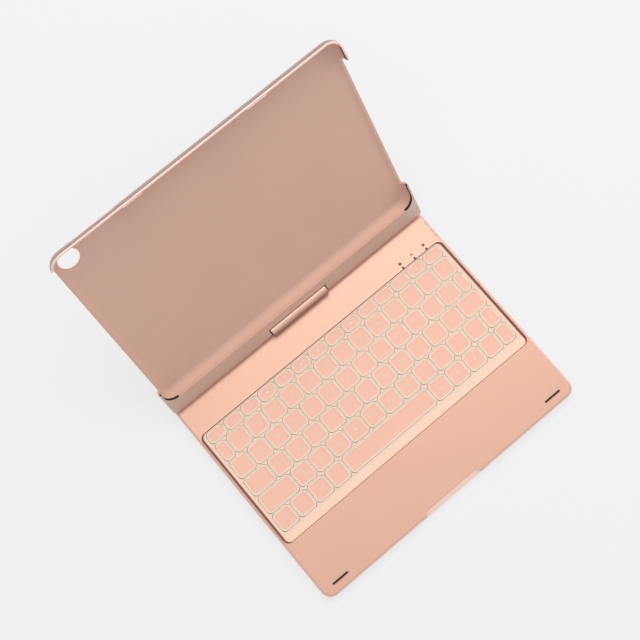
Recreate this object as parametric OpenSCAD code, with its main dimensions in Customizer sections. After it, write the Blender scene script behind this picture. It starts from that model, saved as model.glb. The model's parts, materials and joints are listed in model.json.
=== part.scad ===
// Keyboard case for a tablet of 240 x 169.5 x 7.5 mm, standing open.
// Millimetres, +Z up, +X to the typist's right, -Y towards the typist.
// The origin is the middle of the footprint at desk level.

/* [Case] */
// width of the keyboard half
base_width = 243; // [240:1:250]
// hinge axis to the front edge of the keyboard half
base_reach = 181; // [178:0.5:188]
// radius of the keyboard half's corners in plan
base_corner = 8.5; // [6:0.5:12]
// rounding along the top edge of the keyboard half
deck_round = 2.0; // [1:0.1:2]
// height of the deck above the desk
deck_z = 7.6; // [7.4:0.1:9]
// how much of the deck carries on behind the hinge axis
deck_tail = 7; // [6:0.5:8]

/* [Hinge] */
// height of the hinge axis above the deck
axis_height = 4.6; // [4.6:0.1:6]
// lean of the tablet shell above the deck plane, in degrees
lean = 57.5; // [50:0.5:90]
// radius of the fixed barrel
barrel_r = 4.2; // [3.8:0.1:4.3]
// half of the fixed barrel's length
barrel_half = 26.6; // [20:0.1:27]
// radius of the steel tilt shaft
shaft_r = 1.25; // [1.1:0.05:1.4]

/* [Tablet shell] */
// width of the shell
shell_width = 244; // [243:0.5:250]
// hinge axis to the bottom of the tablet pocket
pocket_low = 11.45; // [11:0.05:14]
// length of the pocket up the shell
pocket_tall = 169.9; // [169.7:0.1:172]
// width of the pocket
pocket_wide = 240.8; // [240.4:0.1:241]
// rounding between the shell's back and its edges
back_round = 8; // [6:0.5:8]

/* [Keys] */
// distance between key rows
row_pitch = 16.9; // [16:0.1:17]
// gap between neighbouring caps
key_gap = 1.3; // [1:0.1:2]
// how far a key travels
key_travel = 1.2; // [0.8:0.1:1.3]

/* [Hidden] */
$fn = 48;
axis_z = deck_z + axis_height;
wall = 1.5;                       // walls of the keyboard half
tub = 1.35;                       // walls of the tablet shell
foot = 1.0;                       // the rubber feet stand proud by this
split_z = 3.4;                    // where top and bottom covers meet
cover_in = 2.2;                   // inner face of the bottom cover
deck_in = deck_z - 1.4;           // inner face of the deck plate
base_deep = base_reach + deck_tail;
base_mid = (deck_tail - base_reach) / 2;
// shell coordinates: X across, Y up the screen from the axis, Z out of the screen
lip_w = 2.1;                      // the rim's height over the axis
nose_r = 3.4;
nose_w = lip_w - nose_r;          // centre of the rounded lower edge
back_w = -7.9;                    // outer face of the shell's back
floor_w = back_w + tub;
shell_top = pocket_low + pocket_tall + tub;
pocket_mid = pocket_low + pocket_tall / 2;
shell_corner = 11;
lip_round = 0.8;                  // rounding of the rim's outer edge
pocket_r = back_round - tub;
glass_w = 1.5;
// the footprint's middle, which the origin sits under
back_reach = (shell_top - back_round) * cos(lean) - (back_w + back_round) * sin(lean) + back_round;
shift_y = (base_reach - back_reach) / 2;
side = base_width / 2;             // outer face of the keyboard half's right wall
// keyboard field
keys_w = 230.8;
keys_back = -27.3;
fn_row = 10.8;
keys_front = keys_back - fn_row - 5 * row_pitch;
field_z = deck_z - 1.2;           // top of the frame between the keys
cap_top = deck_z - 0.6;
cap_low = cap_top - 1.35;
recess_back = -26.45;
recess_front = -130.75;
recess_wide = 238.8;
field_wide = 235.0;               // the key frame's raised part
field_back = recess_back - 0.4;
field_front = recess_front + 0.3;
field_flat = keys_front - 1.8;    // where its front border starts to rise
rim_low = deck_z - 2.5;           // underside of the recess's rim, where the key frame is fixed
notch_half = 21.5;
notch_deep = 4;
plate_z = 3.0;                    // underside of the steel plate
// key widths, row by row from the back: [first, how many standard keys, last]
rows = [[keys_w / 14, 12, keys_w / 14], [10.6, 12, 16.2], [17.0, 12, 9.8],
        [22.6, 11, 21.2], [31.1, 11, 12.7]];
low_row = [16.8, 16.8, 16.8, 16.8, 84.2, 17.0, 17.0, 16.6, 16.0, 12.8];
// case screws: [x, y]
post_x = side - 8;
screws_at = [for (x = [-post_x, 0, post_x]) [x, -134.5], [0, -170],
             for (x = [-post_x, post_x]) for (y = [4.8 - base_reach, -20.5]) [x, y]];
board_screws_at = [[62, -6.5], [105.5, -6.2]];
hinge_screws = [for (x = [-20, -7, 7, 20]) [x, -5.6], for (x = [-20, 20]) [x, 4]];
light_x = [83.3, 95.1, 106.8];
light_y = -25.6;
slot_y = -173.2;
slot_x = 104;
leaf_x = 33.2;                    // inner end of each hinge leaf
leaf_long = 24;
leaf_screws_at = [[38, 0], [53.5, 0], [46, 6.6]];
chamber_x = 47.5;                 // middle of the chamber each hinge leaf lies in
chamber_half = 14.6;
cover_screws_at = [[35.2, 8], [59.8, 8]];
tab_x = 52;                       // middle of each tab along the shell's top edge
pocket_corner = 9.6;
camera_at = [-107.5, 169.3];

module rr(w, d, r) {
  square([w - 2 * r, d], center = true);
  square([w, d - 2 * r], center = true);
  for (x = [-1, 1]) for (y = [-1, 1]) translate([x * (w / 2 - r), y * (d / 2 - r)]) circle(r);
}

// plan of a cap or a small plate: a rectangle with cut corners
module chip(w, d, c) {
  polygon([[-w / 2 + c, -d / 2], [w / 2 - c, -d / 2], [w / 2, -d / 2 + c], [w / 2, d / 2 - c],
           [w / 2 - c, d / 2], [-w / 2 + c, d / 2], [-w / 2, d / 2 - c], [-w / 2, -d / 2 + c]]);
}

// upright strip from 0 to b with its far top edge rounded, and its far bottom edge by low
module edge_strip(b, h, r, low) {
  square([b - r, h]);
  translate([b - r, low]) square([r, h - r - low]);
  translate([b - r, h - r]) intersection() { circle(r); square(r); }
  if (low > 0) {
    translate([b - r, 0]) square([r - low, low]);
    translate([b - low, low]) intersection() { circle(low); translate([0, -low]) square(low); }
  }
}

// slab on z = 0 with rounded corners, rounded top edges, and bottom edges rounded by low
module soft_slab(w, d, h, corner, r, low = 0) {
  rotate([90, 0, 90]) linear_extrude(w - 2 * corner, center = true) {
    edge_strip(d / 2, h, r, low);
    mirror([1, 0]) edge_strip(d / 2, h, r, low);
  }
  for (a = [0, 180]) rotate([0, 0, a]) translate([w / 2 - corner, 0, 0])
    rotate([90, 0, 0]) linear_extrude(d - 2 * corner, center = true) edge_strip(corner, h, r, low);
  for (q = [[1, 1, 0], [-1, 1, 90], [-1, -1, 180], [1, -1, 270]])
    translate([q[0] * (w / 2 - corner), q[1] * (d / 2 - corner), 0])
      rotate([0, 0, q[2]]) rotate_extrude(angle = 90) edge_strip(corner, h, r, low);
}

module at_base() { translate([0, shift_y, 0]) children(); }
module at_axis() { translate([0, shift_y, axis_z]) children(); }
module at_shell() { at_axis() rotate([lean, 0, 0]) children(); }
module block(x0, x1, y0, y1, z0, z1) { translate([x0, y0, z0]) cube([x1 - x0, y1 - y0, z1 - z0]); }

// ---- keyboard half ----

// finger notch in the front edge: a slope with tapered ends
module notch_cut() {
  translate([0, -base_reach, deck_z]) intersection() {
    translate([0, 0, -6]) linear_extrude(7)
      polygon([[-30.5, -0.01], [-30.5, -3], [30.5, -3], [30.5, -0.01],
               [notch_half, notch_deep], [-notch_half, notch_deep]]);
    translate([0, notch_deep, 0]) rotate([42, 0, 0]) block(-40, 40, -12, 6, 0, 9);
  }
}

module top_cover() color("#F0BFA8") at_base() difference() {
  union() {
    difference() {
      translate([0, base_mid, split_z])
        soft_slab(base_width, base_deep, deck_z - split_z, base_corner, deck_round);
      translate([0, base_mid, split_z - 1]) linear_extrude(deck_in - split_z + 1)
        rr(base_width - 2 * wall, base_deep - 2 * wall, base_corner - wall);
    }
    // rim of the key recess, and a thicker edge behind the finger notch
    translate([0, (recess_back + recess_front) / 2, rim_low]) linear_extrude(deck_in + 0.4 - rim_low)
      square([base_width - 2 * wall + 1, recess_back - recess_front + 4], center = true);
    block(-34, 34, -base_reach + 0.8, -base_reach + 6.5, split_z, deck_in + 0.4);
    // screw posts
    for (p = screws_at) translate([p[0], p[1], cover_in + 0.05])
      cylinder(r = 2.6, h = deck_in + 0.3 - cover_in);
  }
  // opening for the key frame
  translate([0, (recess_back + recess_front) / 2, rim_low - 1]) linear_extrude(4)
    rr(recess_wide, recess_back - recess_front, 5);
  for (p = screws_at) translate([p[0], p[1], 0]) cylinder(r = 1.0, h = 5.6);
  for (x = light_x) translate([x, light_y, 0]) cylinder(r = 0.75, h = 9, $fn = 24);
  for (x = [-slot_x, slot_x]) translate([x, slot_y, deck_z - 1.0])
    linear_extrude(2) rr(14.4, 1.5, 0.7, $fn = 24);
  notch_cut();
  // seat of the hinge barrel's foot
  block(-barrel_half - 0.15, barrel_half + 0.15, -2.75, 2.75, 4, 9);
  for (p = hinge_screws) translate([p[0], p[1], 0]) cylinder(r = 0.9, h = deck_in + 0.8, $fn = 24);
  // charging port and switch openings in the right wall
  block(side - 2.5, side + 1, -13.8, -6.3, 4.1, 6.3);
  block(side - 2.5, side + 1, -23.6, -16.2, 4.3, 6.3);
  // engraved marks over them
  block(side - 2.85, side - 1.95, -12.1, -9.8, deck_z - 0.9, deck_z + 1);
  block(side - 2.85, side - 1.95, -23.9, -15.6, deck_z - 0.9, deck_z + 1);
}

module bottom_cover() color("#D9A68F") at_base() difference() {
  union() {
    difference() {
      translate([0, base_mid, split_z]) mirror([0, 0, 1])
        soft_slab(base_width, base_deep, split_z - foot, base_corner, 1.4);
      translate([0, base_mid, cover_in]) linear_extrude(3)
        rr(base_width - 2 * wall, base_deep - 2 * wall, base_corner - wall);
    }
    for (p = screws_at) translate([p[0], p[1], foot + 0.4]) cylinder(r = 3.4, h = cover_in - foot - 0.4);
  }
  for (p = screws_at) translate([p[0], p[1], 0]) {
    cylinder(r = 1.3, h = 5);
    cylinder(r = 2.3, h = foot + 0.75);
  }
  for (x = [-100, 100]) for (y = [-163, -6]) translate([x, y, 0]) cylinder(r = 5.1, h = foot + 0.6);
}

module rubber_feet() color("#2A2626") at_base()
  for (x = [-100, 100]) for (y = [-163, -6]) translate([x, y, 0]) {
    cylinder(r1 = 4.3, r2 = 4.8, h = 0.5);
    translate([0, 0, 0.5]) cylinder(r = 4.8, h = foot + 0.1);
  }

module case_screws() color("#B8B8BC") at_base()
  for (p = screws_at) translate([p[0], p[1], 0]) difference() {
    union() {
      translate([0, 0, foot + 0.1]) cylinder(r = 2.1, h = 0.6, $fn = 24);
      translate([0, 0, foot + 0.1]) cylinder(r = 0.95, h = 4.2, $fn = 24);
    }
    for (a = [0, 90]) rotate([0, 0, a]) translate([0, 0, foot]) cube([1.9, 0.45, 0.7], center = true);
  }

module front_bumpers() color("#1B1414") at_base()
  for (x = [-slot_x, slot_x]) translate([x, slot_y, deck_z - 0.98])
    linear_extrude(1.9) rr(14.2, 1.3, 0.6, $fn = 24);

module light_pipes() color("#3A2A26") at_base()
  for (x = light_x) translate([x, light_y, 5.2]) cylinder(r = 0.7, h = deck_z - 5.2 - 0.1, $fn = 24);

// ---- keys ----

module cap(w, d) {
  linear_extrude(0.5) chip(w, d, 1.6);
  hull() {
    translate([0, 0, 0.5]) linear_extrude(0.01) chip(w, d, 1.6);
    translate([0, 0, 1.34]) linear_extrude(0.01) chip(w - 0.7, d - 0.7, 1.4);
  }
}

function starts(row, i) = i == 0 ? -keys_w / 2
  : -keys_w / 2 + row[0] + (i - 1) * (keys_w - row[0] - row[2]) / row[1];
function widths(row, i) = i == 0 ? row[0] : i == row[1] + 1 ? row[2] : (keys_w - row[0] - row[2]) / row[1];
function row_y(k) = k == 0 ? keys_back - fn_row / 2 : keys_back - fn_row - (k - 0.5) * row_pitch;
function row_d(k) = (k == 0 ? fn_row : row_pitch) - key_gap;
function low_x(i) = i == 0 ? -keys_w / 2 : low_x(i - 1) + low_row[i - 1];

module key_row(k) at_base() for (i = [0 : rows[k][1] + 1])
  translate([starts(rows[k], i) + widths(rows[k], i) / 2, row_y(k), cap_low])
    cap(widths(rows[k], i) - key_gap, row_d(k));

module low_key(i) at_base() translate([low_x(i) + low_row[i] / 2, row_y(5), cap_low])
  cap(low_row[i] - key_gap, row_d(5));

module keys_function_row() color("#F8C3AC") key_row(0);
module keys_number_row() color("#F8C3AC") key_row(1);
module keys_tab_row() color("#F8C3AC") key_row(2);
module keys_caps_row() color("#F8C3AC") key_row(3);
module keys_shift_row() color("#F8C3AC") key_row(4);
module keys_bottom_row() color("#F8C3AC") for (i = [0 : 9]) if (i != 4) low_key(i);
module space_bar() color("#F8C3AC") low_key(4);

module at_each_key() {
  for (k = [0 : 4]) for (i = [0 : rows[k][1] + 1])
    translate([starts(rows[k], i) + widths(rows[k], i) / 2, row_y(k), 0])
      { $kw = widths(rows[k], i); $kd = row_d(k) + key_gap; children(); }
  for (i = [0 : 9]) translate([low_x(i) + low_row[i] / 2, row_y(5), 0])
    { $kw = low_row[i]; $kd = row_pitch; children(); }
}

// flange under the recess's rim, and a raised lattice whose front border rises to the deck
module key_frame() color("#F0BFA8") at_base() difference() {
  union() {
    block(-recess_wide / 2 - 0.45, recess_wide / 2 + 0.45, recess_front - 0.7, recess_back + 0.55,
          rim_low - 0.6, rim_low);
    intersection() {
      rotate([90, 0, 90]) linear_extrude(field_wide, center = true)
        polygon([[field_front, rim_low - 0.1], [field_back, rim_low - 0.1], [field_back, field_z],
                 [field_flat, field_z], [field_front + 0.3, deck_z - 0.1], [field_front, deck_z - 0.3]]);
      translate([0, (field_back + field_front) / 2, 0]) linear_extrude(deck_z)
        rr(field_wide, field_back - field_front, 4);
    }
  }
  translate([0, 0, rim_low - 1]) linear_extrude(3)
    at_each_key() chip($kw - key_gap + 0.3, $kd - key_gap + 0.3, 1.6);
}

module dome_sheet() color("#D8D4CC") at_base() {
  translate([0, (keys_back + keys_front) / 2, plate_z + 0.6]) linear_extrude(0.15)
    square([keys_w - 0.4, keys_back - keys_front - 0.4], center = true);
  translate([0, 0, plate_z + 0.7]) linear_extrude(cap_low - plate_z - 0.7)
    at_each_key() circle(2.4, $fn = 13);
}

module membrane() color("#C9CFC6") at_base() {
  translate([0, (keys_back + keys_front) / 2, plate_z + 0.41]) linear_extrude(0.18)
    square([keys_w + 0.4, keys_back - keys_front + 0.2], center = true);
}

module support_plate() color("#9A9DA1") at_base() difference() {
  translate([0, (keys_back + keys_front) / 2, plate_z]) linear_extrude(0.4)
    square([keys_w + 1.6, keys_back - keys_front + 1.2], center = true);
  translate([0, 0, plate_z - 1]) linear_extrude(3)
    at_each_key() translate([0, -3.6]) square([5, 1.4], center = true);
}

module light_guide() color("#E6EEE8") at_base()
  translate([0, (keys_back + keys_front) / 2, plate_z - 0.45]) linear_extrude(0.4)
    square([keys_w - 2, keys_back - keys_front - 2], center = true);

module backlight_strip() color("#F4F0D8") at_base() {
  block(-90, 90, keys_front - 0.9, keys_front - 0.1, cover_in + 0.02, cover_in + 0.3);
  for (i = [-8 : 8]) block(i * 10.5 - 1.4, i * 10.5 + 1.4, keys_front - 0.7, keys_front + 0.6,
                           cover_in + 0.25, cover_in + 0.75);
}

module ribbon_cable() color("#C68A3A") at_base() {
  block(62, 78, keys_back + 0.1, keys_back + 1.9, plate_z + 0.42, plate_z + 0.57);
  block(62, 78, keys_back + 1.75, keys_back + 1.9, plate_z + 0.42, 4.36);
  block(62, 78, keys_back + 1.75, keys_back + 8, 4.21, 4.36);
}

// ---- electronics ----

module control_board() color("#1E5B3A") at_base() difference() {
  union() {
    block(58, side - 2.9, -24.6, -3.4, 3.2, 4.2);
    block(80, 110, -26.5, -24.5, 3.2, 4.2);
  }
  for (p = board_screws_at) translate([p[0], p[1], 0]) cylinder(r = 1.1, h = 6, $fn = 24);
  translate([post_x, -20.5, 0]) cylinder(r = 3.1, h = 6);
}

module board_chips() color("#2B2B2E") at_base() {
  block(84, 91, -15, -8, 4.2, 5.1);
  block(70, 74.2, -12, -8, 4.2, 5.0);
  block(76, 79, -18, -15, 4.2, 4.8);
  for (x = [96, 99, 102]) block(x - 0.6, x + 0.6, -12, -10.8, 4.2, 4.7);
  for (x = light_x) block(x - 0.4, x + 0.4, light_y - 0.4, light_y + 0.4, 4.2, 4.45);
}

module usb_socket() color("#C0C2C6") at_base() difference() {
  block(side - 8.1, side - 0.6, -13.6, -6.5, 4.2, 6.1);
  block(side - 6.9, side + 0.5, -13.2, -6.9, 4.5, 5.8);
}

module switch_body() color("#222224") at_base() difference() {
  block(side - 4.5, side - 1.9, -24.4, -15.4, 4.2, 6.15);
  block(side - 3.1, side - 1, -23.7, -16.1, 4.6, 5.75);
}

module power_slider() color("#1A1A1A") at_base() {
  block(side - 2.8, side - 0.3, -19.3, -16.5, 4.8, 5.6);
}

module board_screws() color("#B8B8BC") at_base()
  for (p = board_screws_at) translate([p[0], p[1], 0]) {
    translate([0, 0, 4.2]) cylinder(r = 1.7, h = 0.6, $fn = 24);
    translate([0, 0, cover_in]) cylinder(r = 1.0, h = 2.2, $fn = 24);
  }

module battery_pack() color("#8E9196") at_base() for (x = [-1, 1])
  translate([x * 46, -153, cover_in + 0.12]) linear_extrude(3.1) rr(78, 30, 1.6, $fn = 24);

module battery_tape() color("#D9B13B") at_base() {
  for (x = [-1, 1]) translate([x * 46, -153, cover_in])
    linear_extrude(0.12) square([70, 24], center = true);
  block(-7, 7, -143, -140, cover_in, cover_in + 1.2);
}

// ---- hinge ----

// the barrel stands on a foot that is screwed up against the deck from inside
module hinge_barrel() color("#E8B49C") at_base() difference() {
  union() {
    translate([0, 0, axis_z]) rotate([0, 90, 0]) cylinder(r = barrel_r, h = 2 * barrel_half, center = true);
    block(-barrel_half, barrel_half, -2.6, 2.6, deck_in - 0.6, axis_z - 1.5);
    block(-barrel_half - 3, barrel_half + 3, -8, 5.3, deck_in - 1.7, deck_in - 0.05);
  }
  translate([0, 0, axis_z]) rotate([0, 90, 0]) cylinder(r = 2.3, h = 60, center = true);
  for (p = hinge_screws) translate([p[0], p[1], 0]) cylinder(r = 0.9, h = deck_in);
}

module barrel_bushes() color("#3B3230") at_axis() for (x = [-1, 1])
  translate([x * (barrel_half - 1.6), 0, 0]) rotate([0, 90, 0]) difference() {
    cylinder(r = 2.3, h = 3, center = true);
    cylinder(r = shaft_r + 0.06, h = 4, center = true);
  }

module friction_clips() color("#8A8D92") at_axis() for (x = [-20.5, -15, -9.5, 9.5, 15, 20.5])
  translate([x, 0, 0]) rotate([0, 90, 0]) difference() {
    cylinder(r = 2.3, h = 4.4, center = true);
    cylinder(r = shaft_r + 0.03, h = 6, center = true);
    translate([2, 0, 0]) cube([4, 0.6, 6], center = true);
  }

module barrel_screws() color("#B8B8BC") at_base() for (p = hinge_screws) translate([p[0], p[1], 0]) {
  translate([0, 0, deck_in - 2.3]) cylinder(r = 1.45, h = 0.6, $fn = 24);
  translate([0, 0, deck_in - 1.8]) cylinder(r = 0.85, h = 2.5, $fn = 24);
}

module tilt_shaft() color("#B9BCC0") at_shell() {
  rotate([0, 90, 0]) cylinder(r = shaft_r, h = 2 * leaf_x, center = true);
  difference() {
    for (x = [-1, 1]) translate([x * (leaf_x + 11.3), 0, -0.95]) cube([23, 2.3, 0.7], center = true);
    for (x = [-1, 1]) for (p = leaf_screws_at) translate([x * p[0], p[1], -3])
      cylinder(r = 0.85, h = 6, $fn = 24);
  }
}

// ---- tablet shell ----

// side view of the shell: the nose, the flat that faces the deck when open, and the back
module shell_section() {
  low = [-nose_r * sin(lean), nose_w - nose_r * cos(lean)];
  far = shell_top + 5;
  polygon([[0, nose_w], [0, lip_w], [far, lip_w], [far, back_w], [1.6, back_w], [0.15, back_w + 0.7], low]);
  intersection() {
    translate([0, nose_w]) circle(nose_r);
    polygon([[0, nose_w], [0, 9], [-9, 9], [-9, nose_w], 3 * low - 2 * [0, nose_w]]);
  }
}

// a rounded slab that runs on past the hinge, cut to the side view, and in plan to rounded lower corners
module shell_form() intersection() {
  translate([0, (shell_top - 20) / 2, lip_w]) mirror([0, 0, 1])
    soft_slab(shell_width, shell_top + 20, lip_w - back_w, shell_corner, back_round, lip_round);
  rotate([90, 0, 90]) linear_extrude(shell_width + 2, center = true) shell_section();
  translate([0, (shell_top + 25) / 2 - 4.5, -20]) linear_extrude(40) rr(shell_width, shell_top + 25, 8);
}

module pads(grow) {
  inner = pocket_wide / 2 - grow;
  outer = pocket_wide / 2 + 0.7 + grow;
  low = -0.4 - grow;
  high = 2.05 + grow;
  for (q = [[1, 1, 0], [1, -1, 270], [-1, -1, 180]])
    translate([q[0] * (pocket_wide / 2 - pocket_corner),
               pocket_mid + q[1] * (pocket_tall / 2 - pocket_corner), 0])
      rotate([0, 0, q[2]]) rotate_extrude(angle = 90)
        translate([pocket_corner - grow, low]) square([outer - inner, high - low]);
  block(inner, outer, 161, pocket_low + pocket_tall - pocket_corner, low, high);
  block(inner, outer, pocket_low + pocket_corner, 32, low, high);
  block(-outer, -inner, pocket_low + pocket_corner, 24, low, high);
}

module shell_tray() color("#EDBBA4") at_shell() difference() {
  union() {
    shell_form();
    // tabs that snap over the tablet's edge
    for (x = [-tab_x, tab_x])
      block(x - 8, x + 8, shell_top - tub - 0.9, shell_top - 0.9, glass_w + 0.05, lip_w);
  }
  // pocket for the tablet
  translate([0, pocket_mid, lip_w + 6]) mirror([0, 0, 1]) difference() {
    soft_slab(pocket_wide, pocket_tall, lip_w + 6 - floor_w, pocket_corner, pocket_r);
    for (x = [-tab_x, tab_x])
      block(x - 8, x + 8, pocket_tall / 2 - 0.9, pocket_tall / 2 + 1, 5, 6 + lip_w - glass_w - 0.05);
  }
  // open sides between the corners
  block(116, 130, 32, 161, -5.2, 5);
  block(-130, -116, 24, 175, -5.2, 5);
  // volume keys, camera
  block(-100, -63.7, shell_top - 3.2, shell_top + 2, back_w - 1, -1.9);
  translate([camera_at[0], camera_at[1], back_w - 1]) cylinder(r = 8, h = 4);
  translate([camera_at[0], camera_at[1], back_w - 0.01]) cylinder(r1 = 8.7, r2 = 8, h = 0.7);
  pads(0.04);
  // notch for the barrel
  block(-barrel_half - 1, barrel_half + 1, -8, 5.4, back_w - 2, lip_w + 2);
  rotate([0, 90, 0]) cylinder(r = shaft_r + 0.02, h = 2 * leaf_x, center = true);
  // a chamber each side for the hinge leaf, open to the back between the bosses for its cover
  for (x = [-1, 1]) translate([x * chamber_x, 0, 0]) {
    block(-chamber_half, chamber_half, -1.5, 10, -2.4, 0.72);
    difference() {
      block(-chamber_half, chamber_half, 2, 10, back_w - 1, -2.3);
      for (s = [-1, 1]) translate([s * 13, 8.5, back_w]) cube([5.2, 4.6, 14], center = true);
    }
    block(-16.6, 16.6, 1.2, 10.6, back_w - 1, back_w + 1.0);
  }
  for (x = [-1, 1]) for (p = leaf_screws_at) translate([x * p[0], p[1], 0])
    cylinder(r = 0.8, h = 1.6, $fn = 24);
  for (x = [-1, 1]) for (p = cover_screws_at) translate([x * p[0], p[1], back_w])
    cylinder(r = 0.8, h = 4.4, $fn = 24);
}

module corner_pads() color("#191616") at_shell() pads(0);

module hinge_leaves() color("#A7AAAE") at_shell() for (x = [-1, 1]) difference() {
  translate([x * 45.6, 4.1, 0.05]) cube([leaf_long, 10.6, 1.3], center = true);
  for (p = leaf_screws_at) translate([x * p[0], p[1], -3]) cylinder(r = 0.85, h = 6, $fn = 24);
}

module leaf_screws() color("#B8B8BC") at_shell() for (x = [-1, 1]) for (p = leaf_screws_at)
  translate([x * p[0], p[1], 0]) {
    top = p[1] == 0 ? -1.3 : -0.6;
    translate([0, 0, top]) cylinder(r = 0.78, h = 1.5 - top, $fn = 24);
    translate([0, 0, top - 0.6]) cylinder(r = 1.4, h = 0.6, $fn = 24);
  }

module hinge_covers() color("#D9A68F") at_shell() for (x = [-1, 1]) difference() {
  translate([x * chamber_x, 5.9, back_w + 0.5]) cube([33, 9.2, 1.0], center = true);
  for (p = cover_screws_at) translate([x * p[0], p[1], back_w - 1]) {
    cylinder(r = 0.85, h = 3, $fn = 24);
    cylinder(r = 1.7, h = 1.7, $fn = 24);
  }
}

module cover_screws() color("#B8B8BC") at_shell() for (x = [-1, 1]) for (p = cover_screws_at)
  translate([x * p[0], p[1], back_w + 0.05]) {
    cylinder(r = 1.6, h = 0.62, $fn = 24);
    cylinder(r = 0.78, h = 4.2, $fn = 24);
  }

top_cover();
bottom_cover();
rubber_feet();
case_screws();
front_bumpers();
light_pipes();
key_frame();
keys_function_row();
keys_number_row();
keys_tab_row();
keys_caps_row();
keys_shift_row();
keys_bottom_row();
space_bar();
dome_sheet();
membrane();
support_plate();
light_guide();
backlight_strip();
ribbon_cable();
control_board();
board_chips();
usb_socket();
switch_body();
power_slider();
battery_pack();
battery_tape();
board_screws();
hinge_barrel();
barrel_bushes();
friction_clips();
barrel_screws();
tilt_shaft();
shell_tray();
corner_pads();
hinge_leaves();
leaf_screws();
hinge_covers();
cover_screws();
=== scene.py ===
"""Looks of a folding keyboard case for a tablet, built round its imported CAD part. Metres."""

import json
import math

import bpy
import numpy as np
from mathutils import Matrix, Vector


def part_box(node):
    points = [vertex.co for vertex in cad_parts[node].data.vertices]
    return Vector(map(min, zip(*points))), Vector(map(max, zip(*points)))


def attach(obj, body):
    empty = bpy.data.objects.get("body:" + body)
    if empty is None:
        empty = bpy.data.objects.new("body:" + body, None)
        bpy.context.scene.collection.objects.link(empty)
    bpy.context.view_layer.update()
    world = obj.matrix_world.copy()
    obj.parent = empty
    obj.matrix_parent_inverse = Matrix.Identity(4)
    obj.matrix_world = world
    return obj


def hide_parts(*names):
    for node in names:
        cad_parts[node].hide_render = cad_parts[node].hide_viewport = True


MM = 0.001

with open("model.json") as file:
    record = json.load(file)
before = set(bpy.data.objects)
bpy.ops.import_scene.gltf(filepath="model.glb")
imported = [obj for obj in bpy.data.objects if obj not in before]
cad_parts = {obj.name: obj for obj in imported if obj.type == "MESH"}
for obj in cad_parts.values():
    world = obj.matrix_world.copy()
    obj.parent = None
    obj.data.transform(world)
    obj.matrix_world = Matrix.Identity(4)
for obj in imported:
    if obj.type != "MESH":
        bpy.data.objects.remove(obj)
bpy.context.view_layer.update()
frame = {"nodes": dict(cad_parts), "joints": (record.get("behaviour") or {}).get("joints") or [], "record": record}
nodes = frame["nodes"]


def srgb(red, green, blue):
    """A display colour of 0 to 255 a channel as linear light."""
    parts = [c / 255 for c in (red, green, blue)]
    return tuple(c / 12.92 if c < 0.04045 else ((c + 0.055) / 1.055) ** 2.4 for c in parts)


def plug(tree, socket, value):
    """Links an output to a socket, or sets the socket to a number or a colour."""
    if isinstance(value, bpy.types.NodeSocket):
        tree.links.new(value, socket)
    elif socket.type == "RGBA" and len(value) == 3:
        socket.default_value = (*value, 1)
    else:
        socket.default_value = value


def add_node(tree, kind, settings=None, inputs=None):
    """Adds a node: its settings first, then the values and links of its sockets."""
    made = tree.nodes.new("ShaderNode" + kind)
    for key, value in (settings or {}).items():
        setattr(made, key, value)
    for key, value in (inputs or {}).items():
        plug(tree, made.inputs[key], value)
    return made


# ---- camera and light ----

HORIZON = (0.30, 0.37, 0.44)
ZENITH = (0.98, 0.97, 0.96)
BACKDROP = srgb(243, 243, 244)


def aim_camera(target, azimuth, elevation, roll, distance, lens):
    """Forward is (sin a cos e, cos a cos e, -sin e); up is the world's up drawn square to it and
    turned by the roll; the camera stands one distance back from the target."""
    a, e, r = (math.radians(v) for v in (azimuth, elevation, roll))
    ahead = Vector((math.sin(a) * math.cos(e), math.cos(a) * math.cos(e), -math.sin(e)))
    level = ahead.cross(Vector((0, 0, 1))).normalized()
    up = math.cos(r) * level.cross(ahead) + math.sin(r) * level
    data = bpy.data.cameras.new("camera")
    data.lens, data.sensor_width, data.clip_start = lens, 36, 0.01
    camera = bpy.data.objects.new("camera", data)
    camera.matrix_world = Matrix.Translation(Vector(target) - distance * ahead) @ Matrix(
        (ahead.cross(up), up, -ahead)).transposed().to_4x4()
    bpy.context.collection.objects.link(camera)
    bpy.context.scene.camera = camera


def area_light(name, place, target, width, height, watts):
    """A white panel, turned to face its target."""
    data = bpy.data.lights.new(name, "AREA")
    data.shape, data.size, data.size_y, data.energy = "RECTANGLE", width, height, watts
    light = bpy.data.objects.new(name, data)
    light.location = place
    light.rotation_euler = (Vector(target) - Vector(place)).to_track_quat("-Z", "Y").to_euler()
    bpy.context.collection.objects.link(light)


def studio():
    """Sky colour = horizon + (zenith - horizon) x the direction's height: a cool grey horizon under a
    white ceiling. The camera sees a plain pale backdrop instead. Two large panels put slow gradients on
    satin faces."""
    world = bpy.data.worlds.new("studio")
    world.use_nodes = True
    tree = world.node_tree
    tree.nodes.clear()
    where = add_node(tree, "TexCoord").outputs["Generated"]
    height = add_node(tree, "SeparateXYZ", {}, {0: where}).outputs["Z"]
    ramp = add_node(tree, "Mix", {"data_type": "RGBA"}, {0: height, 6: HORIZON, 7: ZENITH}).outputs[2]
    sky = add_node(tree, "Background", {}, {"Color": ramp}).outputs[0]
    backdrop = add_node(tree, "Background", {}, {"Color": BACKDROP}).outputs[0]
    seen = add_node(tree, "LightPath").outputs["Is Camera Ray"]
    choice = add_node(tree, "MixShader", {}, {0: seen, 1: sky, 2: backdrop}).outputs[0]
    add_node(tree, "OutputWorld", {}, {"Surface": choice})
    bpy.context.scene.world = world
    bpy.context.scene.view_settings.view_transform = "Standard"
    area_light("ceiling_panel", (0.28, 0.62, 1.25), (0.06, 0.06, 0), 1.0, 0.8, 7)
    area_light("right_panel", (1.1, -0.1, 0.75), (0.05, 0.02, 0.03), 0.7, 0.7, 2.5)


# ---- colours, and sizes of the part that finishes follow, in metres ----

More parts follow.
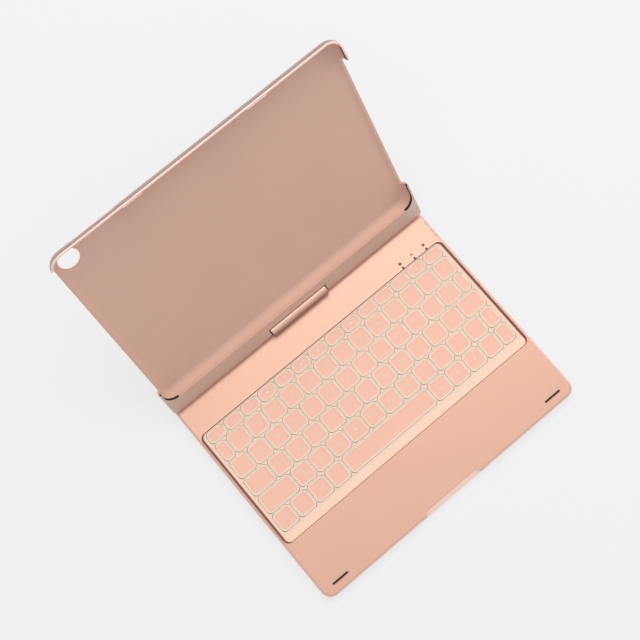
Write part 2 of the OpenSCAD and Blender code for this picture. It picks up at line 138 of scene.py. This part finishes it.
ROSE = srgb(236, 190, 168)
ROSE_DECK = srgb(218, 172, 150)
ROSE_SHELL = srgb(216, 190, 176)
ROSE_KEY = srgb(236, 183, 161)
EDGE_HIGHLIGHT = srgb(238, 202, 186), srgb(244, 210, 194)    # painted highlight on the rolled outer edge of the deck
NOTCH_HIGHLIGHT = srgb(255, 214, 192), srgb(255, 220, 200)   # painted highlight on the slope in the finger notch
RIM_HIGHLIGHT = srgb(255, 212, 198)                          # painted highlight on the upper rim of the shell
GROOVE_SHADE = srgb(146, 96, 78)                             # painted shade at the bottom of the groove round the key frame

# the pocket's width, length, middle up the screen from the hinge axis, and corner radius
POCKET_WIDE, POCKET_TALL, POCKET_MIDDLE, POCKET_CORNER = 0.2408, 0.1699, 0.0964, 0.0096
POCKET_SLACK = 0.00015                                 # corners reach this much past their radius
POCKET_FLOOR, POCKET_LIP = -0.0068, 0.00195            # out of the screen from the hinge axis
UPPER_WALL = 0.163, 0.170                              # up the screen, from none to all of the wall
WALL_SHADE = -0.0079, -0.004                           # out of the screen, from none to full shade
RIM_LOW = 0.0013                                       # where the painted rim highlight starts
NOTCH_DEEP, NOTCH_HALF = 0.0056, 0.0262
EDGE_WIDE, EDGE_DROP = 0.0025, 0.0003                  # the deck's rolled edge
BARREL_RADIUS = 0.0042
FLANGE_STEP = 0.0008                                   # the key frame's flange lies below this
BORDER_START = 0.0025                                  # from the front caps to the frame's border

joint_at = {joint["name"]: joint.get("pos_m") for joint in frame["joints"]}
mount_axis = {mount["name"]: mount["axis"] for mount in frame["record"]["mounts"]}


# ---- materials ----

class Wire:
    """One output in a material. + - * / on it, from either side, and < and > against a value, each add a
    Math node."""

    def __init__(self, paint, socket):
        self.paint, self.socket = paint, socket

    def math(self, operation, first, second=0.0):
        """Adds a Math node for a named operation."""
        return self.paint.node("Math", {"operation": operation}, {0: first, 1: second})

    def __add__(self, other):
        return self.math("ADD", self, other)

    def __sub__(self, other):
        return self.math("SUBTRACT", self, other)

    def __rsub__(self, other):
        return self.math("SUBTRACT", other, self)

    def __mul__(self, other):
        return self.math("MULTIPLY", self, other)

    def __truediv__(self, other):
        return self.math("DIVIDE", self, other)

    def __rtruediv__(self, other):
        return self.math("DIVIDE", other, self)

    def __gt__(self, other):
        return self.math("GREATER_THAN", self, other)

    def __lt__(self, other):
        return self.math("LESS_THAN", self, other)

    __radd__, __rmul__ = __add__, __mul__


class Paint:
    """One material: a principled shader, and the nodes that vary over its surface."""

    def __init__(self, name, colour, roughness=0.5, metallic=0.0, **constants):
        self.material = bpy.data.materials.new(name)
        self.material.use_nodes = True
        self.material.diffuse_color = (*colour, 1)
        self.tree = self.material.node_tree
        self.tree.nodes.clear()
        self.shader = add_node(self.tree, "BsdfPrincipled")
        add_node(self.tree, "OutputMaterial", {}, {"Surface": self.shader.outputs["BSDF"]})
        self.roughness = roughness
        self.put("Base Color", colour)
        self.put("Roughness", roughness)
        self.put("Metallic", metallic)
        for socket, value in constants.items():
            self.put(socket.replace("_", " "), value)
        self.place = self.node("TexCoord", out="Object")

    def put(self, socket, value):
        """Sets or links one of the shader's own sockets."""
        plug(self.tree, self.shader.inputs[socket], value.socket if isinstance(value, Wire) else value)

    def node(self, kind, settings=None, inputs=None, out=0):
        """Adds a node and gives one of its outputs as a wire."""
        values = {key: v.socket if isinstance(v, Wire) else v for key, v in (inputs or {}).items()}
        return Wire(self, add_node(self.tree, kind, settings, values).outputs[out])

    def axes(self):
        """The x, y and z of the place on the surface, in metres."""
        return [self.node("SeparateXYZ", {}, {0: self.place}, axis) for axis in "XYZ"]

    def pits(self, size):
        """Cells of that size in metres, dark in the middle and light between."""
        return self.node("TexVoronoi", {}, {"Vector": self.place, "Scale": 1 / size}, "Distance")

    def rise(self, value, start, end):
        """0 below the start, 1 above the end and a straight slope between."""
        return self.node("MapRange", {}, {0: value, 1: start, 2: end})

    def noise(self, size, detail=2.0, stretch=None):
        """Cloudy 0 to 1 pattern with features of that size in metres, drawn out along an axis if asked."""
        where = self.place
        if stretch:
            where = self.node("Mapping", {}, {"Vector": where, "Scale": stretch})
        return self.node("TexNoise", {}, {"Vector": where, "Scale": 1 / size, "Detail": detail}, "Fac")

    def blend(self, factor, first, second):
        """Colour between two others, by a factor of 0 to 1."""
        settings = {"data_type": "RGBA", "clamp_factor": True}
        return self.node("Mix", settings, {0: factor, 6: first, 7: second}, 2)

    def relief(self, height, depth):
        """Bumps of that depth in metres, from a 0 to 1 height."""
        bump = self.node("Bump", {}, {"Height": height, "Distance": depth, "Strength": 1.0})
        self.put("Normal", bump)

    def tint(self, mask, colour, spread):
        """Colour between two shades of one, a spread of it apart on each side, by a 0 to 1 mask."""
        return self.blend(mask, shade(colour, 1 - spread), shade(colour, 1 + spread))

    def uneven(self, mask, colours, spread):
        """Base colour between two shades, and roughness round its mean, both by a 0 to 1 mask."""
        self.put("Base Color", self.blend(mask, *colours))
        self.put("Roughness", self.roughness + (mask - 0.5) * spread)


def shade(colour, factor):
    """The colour times a factor, no brighter than white."""
    return tuple(min(c * factor, 1.0) for c in colour)


def satin(name, colour, roughness, metallic, grain, depth):
    """Blasted and coated surface: slow clouds in tone, and a fine even grain in the relief."""
    paint = Paint(name, colour, roughness, metallic)
    clouds = paint.noise(0.045, 3)
    fine = paint.noise(grain, 2)
    paint.uneven(clouds * 0.6 + fine * 0.4, (shade(colour, 0.96), shade(colour, 1.04)), 0.10)
    paint.relief(fine, depth)
    return paint.material


def shell_finish(name, colour, roughness, metallic):
    """Satin coat outside and bare matte moulding inside the pocket. With (b, c) the y and z of the pocket
    mount's axis, and y and z from the hinge axis, up the screen is y c - z b and out of it is y b + z c.
    The pocket is a rounded rectangle: what is past its straight sides, squared and summed, is under the
    corner's radius squared. The upper rim carries a painted highlight, and the outer wall below it painted shade."""
    paint = Paint(name, colour, roughness, metallic)
    hinge, (_, b, c) = joint_at["shell_tilt"], mount_axis["pocket_back"]
    across, y, z = paint.axes()
    back, up = y - hinge[1], z - hinge[2]
    along, out = back * c - up * b, back * b + up * c
    past = [wire.math("MAXIMUM", wire.math("ABSOLUTE", wire) - (half - POCKET_CORNER), 0.0)
            for wire, half in ((across, POCKET_WIDE / 2), (along - POCKET_MIDDLE, POCKET_TALL / 2))]
    within = past[0] * past[0] + past[1] * past[1] < (POCKET_CORNER + POCKET_SLACK) ** 2
    inside = within * (out > POCKET_FLOOR) * (out < POCKET_LIP)
    upper = paint.rise(along, *UPPER_WALL)
    # painted highlight on the upper rim, and painted shade on the outer wall below it
    rim = upper * (out > RIM_LOW)
    wall = upper * paint.rise(out, *WALL_SHADE) * (1 - inside)
    clouds, fine, pits = paint.noise(0.045, 3), paint.noise(0.0005, 2), paint.pits(0.0009)
    tone = clouds * 0.6 + fine * 0.4
    bare = paint.blend(clouds * 0.7 + pits * 0.3, shade(ROSE, 0.78), shade(ROSE, 0.86))
    outer = paint.blend(rim, paint.blend(wall, paint.tint(tone, colour, 0.04), shade(colour, 0.74)), RIM_HIGHLIGHT)
    paint.put("Base Color", paint.blend(inside * (1 - rim), outer, bare))
    paint.put("Metallic", metallic - inside * metallic - rim * (1 - inside) * 0.45)
    paint.put("Roughness", roughness + inside * 0.24 + (tone - 0.5) * 0.1)
    paint.relief(fine * (1 - inside) * 0.2 + pits * inside, 0.00003)
    return paint.material


def deck_finish(name, colour, roughness, metallic):
    """Satin anodised deck with a painted highlight on its outer edge below its top, and a brighter painted
    highlight on the slope in the finger notch: both are told by |x|, y and z."""
    paint = Paint(name, colour, roughness, metallic)
    low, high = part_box("top_cover")
    x, y, z = paint.axes()
    front = y < low.y + NOTCH_DEEP
    below = z < high.z - EDGE_DROP
    # painted highlight on the finger notch's slope
    notch = front * below * (x * x < NOTCH_HALF ** 2)
    # painted highlight on the rolled outer edge, below the deck's top
    rim = below * (front + (x * x > (high.x - EDGE_WIDE) ** 2) > 0.5)
    clouds, fine = paint.noise(0.045, 3), paint.noise(0.0004, 2)
    tone = clouds * 0.6 + fine * 0.4
    skin = paint.blend(rim, paint.tint(tone, colour, 0.04), paint.blend(tone, *EDGE_HIGHLIGHT))
    paint.put("Base Color", paint.blend(notch, skin, paint.blend(tone, *NOTCH_HIGHLIGHT)))
    paint.put("Metallic", metallic - notch * metallic)
    paint.put("Roughness", roughness + (tone - 0.5) * 0.1)
    paint.relief(fine, 0.000006)
    return paint.material


def barrel_finish(name, colour, roughness, metallic):
    """Coated barrel with painted shade down its flanks: the colour follows (z - axis height) / radius."""
    paint = Paint(name, colour, roughness, metallic)
    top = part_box("hinge_barrel")[1].z
    crown = (paint.axes()[2] - (top - BARREL_RADIUS)) / BARREL_RADIUS
    fine = paint.noise(0.0004, 2)
    # painted shade: the lower the surface lies on the barrel, the darker its colour
    painted_flank_shade = crown * 1.15 - 0.15 + (fine - 0.5) * 0.06
    paint.put("Base Color", paint.blend(painted_flank_shade, shade(colour, 0.36), colour))
    paint.put("Roughness", roughness + (fine - 0.5) * 0.1)
    paint.relief(fine, 0.000001)
    return paint.material


def moulded(name, colour, roughness, grain, depth, **constants):
    """Spark-eroded moulding: pits a fraction of a millimetre across, with a little colour drift."""
    paint = Paint(name, colour, roughness, **constants)
    pits, drift = paint.pits(grain), paint.noise(0.03, 2)
    paint.uneven(drift * 0.7 + pits * 0.3, (shade(colour, 0.95), shade(colour, 1.05)), 0.08)
    paint.relief(pits, depth)
    return paint.material


def rolled(name, colour, roughness, along):
    """Rolled or turned metal: fine lines drawn out along one axis."""
    paint = Paint(name, colour, roughness, 1.0)
    lines = paint.noise(0.0006, 4, stretch=along)
    drift = paint.noise(0.01, 2)
    paint.uneven(lines * 0.6 + drift * 0.4, (shade(colour, 0.82), shade(colour, 1.12)), 0.2)
    paint.relief(lines, 0.00001)
    return paint.material


def board(name):
    """Solder mask: a square net of slightly raised tracks under green lacquer."""
    paint = Paint(name, srgb(22, 84, 50), 0.35, Coat_Weight=0.4)
    tracks = paint.node("TexBrick", {"offset": 0.0},
                        {"Vector": paint.place, "Scale": 320.0, "Mortar Size": 0.012}, "Fac")
    drift = paint.noise(0.004, 3)
    paint.uneven(tracks * 0.6 + drift * 0.4, (srgb(16, 66, 38), srgb(46, 128, 78)), 0.2)
    paint.relief(tracks, 0.00003)
    return paint.material


def foil(name):
    """Crimped pouch foil: shallow creases between flat cells."""
    paint = Paint(name, srgb(190, 192, 196), 0.32, 0.9)
    creases = paint.node("TexVoronoi", {"feature": "DISTANCE_TO_EDGE"},
                         {"Vector": paint.place, "Scale": 140.0}, "Distance")
    paint.uneven(creases, (srgb(168, 170, 175), srgb(205, 207, 210)), 0.15)
    paint.relief(creases, 0.0001)
    return paint.material


def rubber(name, colour, roughness):
    """Matte rubber with dusty speckles."""
    paint = Paint(name, colour, roughness)
    dust = paint.noise(0.0008, 4)
    paint.uneven(dust, (shade(colour, 0.7), shade(colour, 1.5)), 0.12)
    paint.relief(dust, 0.00004)
    return paint.material


def frame_moulding(name, colour, bright, roughness):
    """The key frame's moulding: its front border, in front of one y, has a brighter polished coat, and
    its flange, below one z, carries painted shade for the groove."""
    paint = Paint(name, colour, roughness)
    _, y, z = paint.axes()
    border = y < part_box("keys_bottom_row")[0].y - BORDER_START
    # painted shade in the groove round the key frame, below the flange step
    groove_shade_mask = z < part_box("key_frame")[0].z + FLANGE_STEP
    pits = paint.pits(0.0007)
    tone = paint.noise(0.03, 2) * 0.7 + pits * 0.3
    raised = paint.blend(border, paint.tint(tone, colour, 0.04), paint.tint(tone, bright, 0.02))
    paint.put("Base Color", paint.blend(groove_shade_mask, raised, GROOVE_SHADE))
    paint.put("Roughness", roughness - border * 0.2 + (tone - 0.5) * 0.08)
    paint.relief(pits, 0.00002)
    return paint.material


materials = {
    "rose_anodised": deck_finish("rose_anodised", ROSE_DECK, 0.38, 0.50),
    "rose_barrel": barrel_finish("rose_barrel", ROSE, 0.40, 0.60),
    "rose_painted": shell_finish("rose_painted", ROSE_SHELL, 0.36, 0.70),
    "rose_cover": satin("rose_cover", ROSE_SHELL, 0.36, 0.70, 0.0005, 0.000005),
    "rose_moulded": moulded("rose_moulded", shade(ROSE, 0.98), 0.55, 0.0007, 0.00003),
    "key_face": satin("key_face", ROSE_KEY, 0.50, 0.0, 0.0003, 0.00001),
    "key_rim": moulded("key_rim", srgb(230, 221, 199), 0.45, 0.0009, 0.00001),
    "web": frame_moulding("web", srgb(233, 203, 182), srgb(243, 198, 172), 0.55),
    "legend": moulded("legend", srgb(202, 210, 190), 0.5, 0.0004, 0.000005),
    "lit_mark": moulded("lit_mark", srgb(186, 226, 208), 0.5, 0.0004, 0.000005,
                        Emission_Color=srgb(186, 232, 212), Emission_Strength=0.1),
    "print": moulded("print", srgb(34, 16, 14), 0.6, 0.0004, 0.000005),
    "black_rubber": rubber("black_rubber", srgb(26, 14, 13), 0.65),
    "silicone": rubber("silicone", srgb(214, 208, 196), 0.5),
    "steel": rolled("steel", srgb(176, 178, 182), 0.32, (1, 14, 14)),
    "dark_steel": rolled("dark_steel", srgb(58, 46, 44), 0.36, (14, 1, 1)),
    "screw_steel": rolled("screw_steel", srgb(190, 190, 194), 0.3, (6, 6, 1)),
    "clear_film": moulded("clear_film", srgb(202, 208, 198), 0.2, 0.004, 0.00001),
    "light_plastic": moulded("light_plastic", srgb(232, 240, 234), 0.15, 0.003, 0.00001),
    "smoke_plastic": moulded("smoke_plastic", srgb(26, 14, 12), 0.22, 0.0006, 0.000005),
    "led_white": moulded("led_white", srgb(244, 240, 214), 0.4, 0.001, 0.00002),
    "amber_film": moulded("amber_film", srgb(198, 138, 58), 0.25, 0.003, 0.00002),
    "board_green": board("board_green"),
    "black_plastic": moulded("black_plastic", srgb(40, 38, 38), 0.5, 0.0006, 0.00002),
    "foil": foil("foil"),
}

finish_of = {p["node"]: p["material_slot"] for p in frame["record"]["subparts"]}
# where a node's finish is not the one that its slot is named after
own_finish = {"hinge_barrel": "rose_barrel", "shell_tray": "rose_painted", "bottom_cover": "rose_moulded",
              "hinge_covers": "rose_cover", "key_frame": "web", "tilt_shaft": "dark_steel"}


def dress(node):
    """Gives a CAD node its finish."""
    finish = {"key_plastic": "key_face"}.get(finish_of[node], finish_of[node])
    slots = nodes[node].data.materials
    slots.clear()
    slots.append(materials[own_finish.get(node, finish)])


for node in nodes:
    dress(node)


# ---- meshes ----

def piece(name, points, faces, material_of_face, names, body, sharp=30):
    """A mesh object in the row frame with smooth faces, sharp where they meet at more than an angle."""
    mesh = bpy.data.meshes.new(name)
    mesh.from_pydata(np.asarray(points).reshape(-1, 3).tolist(), [], faces)
    for m in names:
        mesh.materials.append(materials[m])
    mesh.polygons.foreach_set("material_index", np.asarray(material_of_face, np.int32))
    mesh.polygons.foreach_set("use_smooth", np.ones(len(mesh.polygons), bool))
    mesh.set_sharp_from_angle(angle=math.radians(sharp))
    mesh.update()
    made = bpy.data.objects.new(name, mesh)
    bpy.context.collection.objects.link(made)
    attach(made, body)
    return made


def stacked_rings(count, rings, around):
    """Faces of closed stacks of rings: quads between each ring and the next, and a cap at each end.
    Point (stack, ring, step) has the index (stack x rings + ring) x around + step."""
    stack, ring, step = np.meshgrid(np.arange(count), np.arange(rings - 1), np.arange(around), indexing="ij")
    first = (stack * rings + ring) * around
    after = (step + 1) % around
    quads = np.stack([first + step, first + after, first + around + after, first + around + step], -1)
    starts = np.arange(count)[:, None] * rings * around
    floors = starts + np.arange(around)[::-1]
    lids = starts + (rings - 1) * around + np.arange(around)
    return quads.reshape(-1, 4).tolist(), floors.tolist(), lids.tolist()


def rounded_rings(middles, halves, corner, profile, steps=5):
    """Rounded rectangles drawn in by each inset of a profile of (inset, height): on each corner the
    point is the corner's centre plus its radius times (cos t, sin t), t over a quarter turn."""
    quarter = np.arange(4)[:, None]
    turn = ((quarter + np.linspace(0, 1, steps)[None]) * math.pi / 2).ravel()
    signs = np.repeat(np.array([[1, 1], [-1, 1], [-1, -1], [1, -1]]), steps, axis=0)
    inset, height = np.array(profile).T
    radius = np.maximum(corner - inset, 0.25 * corner)
    middles, halves = np.asarray(middles)[:, None, None], np.asarray(halves)[:, None, None]
    centre = halves - inset[None, :, None, None] - radius[None, :, None, None]
    arc = radius[None, :, None, None] * np.stack([np.cos(turn), np.sin(turn)], -1)
    flat = middles + signs * centre + arc
    tall = np.broadcast_to(height[None, :, None, None], (*flat.shape[:3], 1))
    return np.concatenate([flat, tall], -1)


# ---- keys ----

# widths of the caps with their gaps, from left to right, in mm; the bottom row's wide one is the space bar
KEY_WIDTHS = {
    "keys_function_row": [230.8 / 14] * 14,
    "keys_number_row": [10.6, *[204.0 / 12] * 12, 16.2],
    "keys_tab_row": [17.0, *[204.0 / 12] * 12, 9.8],
    "keys_caps_row": [22.6, *[187.0 / 11] * 11, 21.2],
    "keys_shift_row": [31.1, *[187.0 / 11] * 11, 12.7],
    "keys_bottom_row": [16.8, 16.8, 16.8, 16.8, 84.2, 17.0, 17.0, 16.6, 16.0, 12.8],
}
SPACE = 4                # the space bar's place in the bottom row
GAP = 1.3
RIM = 0.95               # how far the pale edge reaches into a cap's top
CAP_CORNER = 2.8


def key_spans(row):
    """Each cap's (left, right) in mm: running sums of the widths, drawn in by half a gap a side."""
    edges = np.concatenate([[0], np.cumsum(KEY_WIDTHS[row])]) - sum(KEY_WIDTHS[row]) / 2
    return np.stack([edges[:-1] + GAP / 2, edges[1:] - GAP / 2], -1)


def row_box(node):
    """A node's lowest and highest corners in mm."""
    low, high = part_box(node)
    return np.array(low) / MM, np.array(high) / MM


def caps(node, spans):
    """A row of caps: straight skirt, a rolled edge in pale plastic, and a slightly dished painted face."""
    low, high = row_box(node)
    front, back, foot, crown = low[1], high[1], low[2], high[2]
    profile = [(0, foot), (0, crown - 0.55), (0.05, crown - 0.32), (0.18, crown - 0.12), (0.4, crown - 0.02),
               (RIM, crown - 0.01), (RIM + 0.1, crown - 0.05), (2.0, crown - 0.12), (3.3, crown - 0.16)]
    middles = np.stack([spans.mean(1), np.full(len(spans), (front + back) / 2)], -1)
    halves = np.stack([(spans[:, 1] - spans[:, 0]) / 2, np.full(len(spans), (back - front) / 2)], -1)
    points = rounded_rings(middles, halves, CAP_CORNER, profile) * MM
    quads, floors, lids = stacked_rings(len(spans), len(profile), points.shape[2])
    ring_of_quad = np.tile(np.repeat(np.arange(len(profile) - 1), points.shape[2]), len(spans))
    pale = (ring_of_quad < 5).astype(int)
    made = piece(node + "_caps", points, quads + floors + lids,
                 np.concatenate([pale, np.ones(len(floors)), np.zeros(len(lids))]),
                 ["key_face", "key_rim"], node + "_body", sharp=50)
    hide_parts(node)


for row in KEY_WIDTHS:
    spans = key_spans(row)
    if row == "keys_bottom_row":
        caps("space_bar", spans[SPACE:SPACE + 1])
        spans = np.delete(spans, SPACE, axis=0)
    caps(row, spans)


# ---- legends ----

def outline_text(words, size):
    """Points and faces of a word in the plain built-in letters, centred on the origin, in mm."""
    curve = bpy.data.curves.new("word", "FONT")
    curve.body, curve.size, curve.resolution_u = words, size, 2
    curve.align_x = curve.align_y = "CENTER"
    holder = bpy.data.objects.new("word", curve)
    mesh = bpy.data.meshes.new_from_object(holder)
    points = np.zeros(len(mesh.vertices) * 3)
    mesh.vertices.foreach_get("co", points)
    faces = [list(p.vertices) for p in mesh.polygons]
    bpy.data.objects.remove(holder)
    bpy.data.curves.remove(curve)
    bpy.data.meshes.remove(mesh)
    return points.reshape(-1, 3)[:, :2], faces


def ring_mark(outer, inner=0.0, steps=16):
    """A disc, or a ring: two circles of (r cos t, r sin t) with quads between."""
    turn = np.linspace(0, 2 * math.pi, steps, endpoint=False)
    circle = np.stack([np.cos(turn), np.sin(turn)], -1)
    if not inner:
        return circle * outer, [list(range(steps))]
    quads = [[k, (k + 1) % steps, steps + (k + 1) % steps, steps + k] for k in range(steps)]
    return np.concatenate([circle * outer, circle * inner]), quads


def shape_mark(*outlines):
    """Flat shapes, each one convex face."""
    points, faces = [], []
    for outline in outlines:
        faces.append(list(range(len(points), len(points) + len(outline))))
        points += outline
    return np.array(points, float), faces


def bar(x0, x1, y0, y1):
    """The corners of an upright rectangle."""
    return [(x0, y0), (x1, y0), (x1, y1), (x0, y1)]


# marks drawn one by one, in mm round their middle
MARKS = {
    "left": shape_mark([(-1.2, 0), (0.2, -1), (0.2, 1)], bar(0.2, 1.3, -0.25, 0.25)),
    "right": shape_mark([(1.2, 0), (-0.2, 1), (-0.2, -1)], bar(-1.3, -0.2, -0.25, 0.25)),
    "up": shape_mark([(0, 1.2), (-1, 0), (1, 0)], bar(-0.4, 0.4, -1.2, 0)),
    "play": shape_mark([(-0.7, -1), (1, 0), (-0.7, 1)]),
    "next": shape_mark([(-1.2, -0.8), (0, 0), (-1.2, 0.8)], [(0, -0.8), (1.2, 0), (0, 0.8)]),
    "back": shape_mark([(1.2, 0.8), (0, 0), (1.2, -0.8)], [(0, 0.8), (-1.2, 0), (0, -0.8)]),
    "pause": shape_mark(bar(-0.9, -0.3, -0.9, 0.9), bar(0.3, 0.9, -0.9, 0.9)),
    "wedge_left": shape_mark([(-0.9, 0), (0.6, -0.9), (0.6, 0.9)]),
    "wedge_right": shape_mark([(0.9, 0), (-0.6, 0.9), (-0.6, -0.9)]),
    "wedge_up": shape_mark([(0, 0.9), (-0.9, -0.6), (0.9, -0.6)]),
    "wedge_down": shape_mark([(0, -0.9), (0.9, 0.6), (-0.9, 0.6)]),
    "square": shape_mark(bar(-1.1, 1.1, 0.75, 1.0), bar(-1.1, 1.1, -1.0, -0.75),
                         bar(-1.1, -0.85, -0.75, 0.75), bar(0.85, 1.1, -0.75, 0.75)),
    "lines": shape_mark(bar(-1.1, 1.1, 0.6, 0.9), bar(-1.1, 1.1, -0.15, 0.15), bar(-1.1, 1.1, -0.9, -0.6)),
    "minus": shape_mark(bar(-0.9, 0.9, -0.2, 0.2)),
    "plus": shape_mark(bar(-0.9, 0.9, -0.2, 0.2), bar(-0.2, 0.2, 0.2, 0.9), bar(-0.2, 0.2, -0.9, -0.2)),
    "dot": ring_mark(0.8),
    "ring": ring_mark(1.1, 0.75),
    "small_ring": ring_mark(0.8, 0.5),
}

LEGENDS = {
    "keys_function_row": ["ring", "small_ring", "lines", "dot", "square", "plus", "ring",
                          "back", "play", "next", "minus", "dot", "plus", "square"],
    "keys_number_row": [*"`1234567890-=", "left"],
    "keys_tab_row": ["right", *"QWERTYUIOP[]", "minus"],
    "keys_caps_row": ["up", *"ASDFGHJKL;'", "left"],
    "keys_shift_row": ["up", *"ZXCVBNM,./", "wedge_up", "up"],
    "keys_bottom_row": ["ring", "small_ring", "square", "lines",
                        "lines", "square", "wedge_left", "wedge_down", "wedge_right"],
}
# marks that stand over a lamp and read brighter, by their place in the row
LIT = {"keys_function_row": (3, 5, 6, 8, 10, 12, 13), "keys_shift_row": (4,), "keys_bottom_row": (4, 5, 6)}
WIDE = 20.0              # a cap wider than this has its mark in the front left corner
CORNER_MARK = 4.2, 4.4   # from the cap's left and front to the mark's middle
LETTER = 5.0
FACE_DROP = 0.125        # from the caps' top to the marks on their dished faces


def legends(row):
    """Each cap's mark, laid on its dished face; on wide keys it sits in the front left corner."""
    low, high = row_box(row)
    spans = key_spans(row)
    if row == "keys_bottom_row":
        spans = np.delete(spans, SPACE, axis=0)
    middle, points, faces, finish, total = (low[1] + high[1]) / 2, [], [], [], 0
    for place_in_row, ((left, right), mark) in enumerate(zip(spans, LEGENDS[row])):
        shape, parts = MARKS[mark] if mark in MARKS else outline_text(mark, LETTER)
        wide = right - left > WIDE
        place = np.array([left, low[1]]) + CORNER_MARK if wide else np.array([(left + right) / 2, middle])
        points.append(np.column_stack([shape + place, np.full(len(shape), high[2] - FACE_DROP)]))
        faces += [[total + k for k in part] for part in parts]
        finish += [int(place_in_row in LIT.get(row, ()))] * len(parts)
        total += len(shape)
    piece(row + "_legends", np.concatenate(points) * MM, faces, finish, ["legend", "lit_mark"], row + "_body")


for row in LEGENDS:
    legends(row)


# in mm
LIGHT_TO_SIGN = 3.8
LENS_RADIUS = 0.7
INK = 0.015              # the signs lie this much over the deck


def deck_marks():
    """Three small printed signs and, below each, a dark ring round the light's lens."""
    low, high = row_box("light_pipes")
    left, right, y = low[0] + LENS_RADIUS, high[0] - LENS_RADIUS, (low[1] + high[1]) / 2 + LIGHT_TO_SIGN
    top = row_box("top_cover")[1][2] + INK
    points, faces, total = [], [], 0
    signs = ring_mark(1.2, 0.3), shape_mark(bar(-1.1, 1.1, -0.4, 0.4)), ring_mark(1.2, 0.4)
    for x, sign in zip((left, (left + right) / 2, right), signs):
        for (mark, sides), offset in ((sign, 0.0), (ring_mark(0.95, 0.66), -LIGHT_TO_SIGN)):
            points.append(np.column_stack([mark + [x, y + offset], np.full(len(mark), top)]))
            faces += [[total + k for k in side] for side in sides]
            total += len(mark)
    piece("deck_marks", np.concatenate(points) * MM, faces, np.zeros(len(faces)), ["print"], "keyboard_half")


deck_marks()


# ---- stage ----

FLOOR_RADIUS, FLOOR_SIDES = 60, 96


def pale_floor():
    """A very large disc a hair below the feet. Part of its brightness is its own, so shadows on it stay
    faint."""
    paint = Paint("floor", (0.20, 0.20, 0.201), 0.9,
                  Emission_Color=(1.0, 1.0, 1.003), Emission_Strength=0.665)
    paint.put("Specular IOR Level", 0.1)
    turn = np.linspace(0, 2 * math.pi, FLOOR_SIDES, endpoint=False)
    rim = FLOOR_RADIUS * np.column_stack([np.cos(turn), np.sin(turn), 0 * turn - 1e-6])
    mesh = bpy.data.meshes.new("floor")
    mesh.from_pydata(rim.tolist(), [], [list(range(FLOOR_SIDES))])
    mesh.materials.append(paint.material)
    made = bpy.data.objects.new("floor", mesh)
    bpy.context.collection.objects.link(made)


pale_floor()
studio()
aim_camera(target=(0.0081, 0.02379, 0.0076), azimuth=33.73, elevation=78.31, roll=6.3,
           distance=0.9241, lens=68.07)
